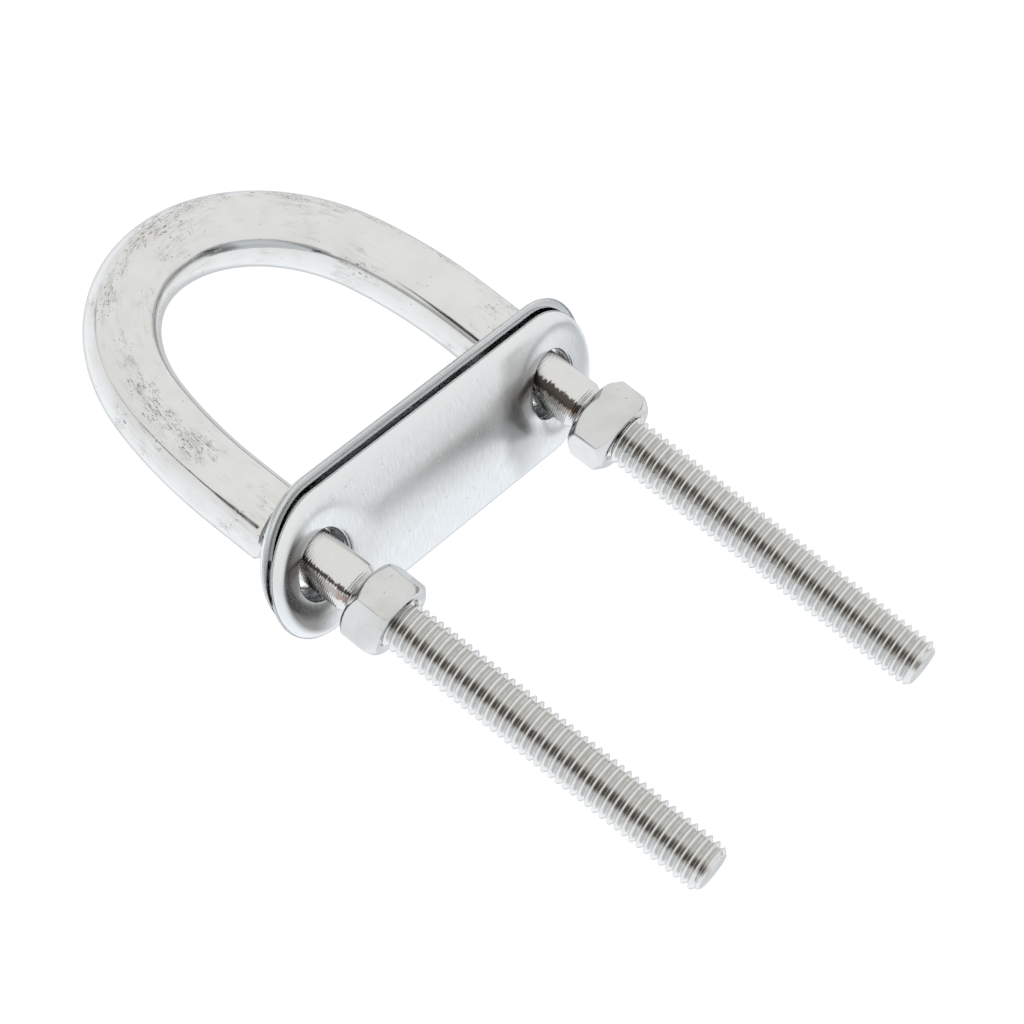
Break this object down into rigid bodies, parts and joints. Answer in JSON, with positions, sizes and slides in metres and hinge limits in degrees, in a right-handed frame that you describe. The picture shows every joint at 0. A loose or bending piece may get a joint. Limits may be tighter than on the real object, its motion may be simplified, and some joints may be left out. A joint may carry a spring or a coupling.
{
  "type": "pad eye",
  "caption": "Stainless steel bow eye: a round-bar D-shaped U-bolt with shouldered threaded legs, two loose dished plates and hex nuts.",
  "frame": {"origin": "midway between the two legs, on the plane of the shoulders' end faces, which clamps the outer plate to the hull", "axes": "+Z from the legs to the bow, +X across the two legs, Y square to the bow's plane"},
  "size_m": [0.0942, 0.0266, 0.1577],
  "materials": {
    "polished_bar": "polished stainless steel, fine pits and drawing marks",
    "satin_plate": "satin stainless sheet, fine brush lines",
    "nut_steel": "smooth bright stainless steel"
  },
  "bodies": {
    "bolt": {"u_bolt": "polished_bar"},
    "outer_plate": {"outer_plate": "satin_plate"},
    "backing_plate": {"backing_plate": "satin_plate"},
    "nut_left": {"nut_left": "nut_steel"},
    "nut_right": {"nut_right": "nut_steel"}
  },
  "joints": [
    {"name": "outer_plate_tilt", "type": "hinge", "parent": "bolt", "child": "outer_plate", "pos_m": [0, 0, -0.00498], "axis": [1, 0, 0], "range_deg": [0, 57]},
    {"name": "backing_plate_tilt", "type": "hinge", "parent": "bolt", "child": "backing_plate", "pos_m": [0, 0, -0.01045], "axis": [1, 0, 0], "range_deg": [0, 57]},
    {"name": "nut_left_run", "type": "slide", "parent": "bolt", "child": "nut_left", "axis": [0, 0, -1], "range_m": [0, 0.06509]},
    {"name": "nut_right_run", "type": "slide", "parent": "bolt", "child": "nut_right", "axis": [0, 0, -1], "range_m": [0, 0.06509]}
  ],
  "couplings": [
    {"joint": "backing_plate_tilt", "follows": "outer_plate_tilt", "ratio": 1}
  ]
}
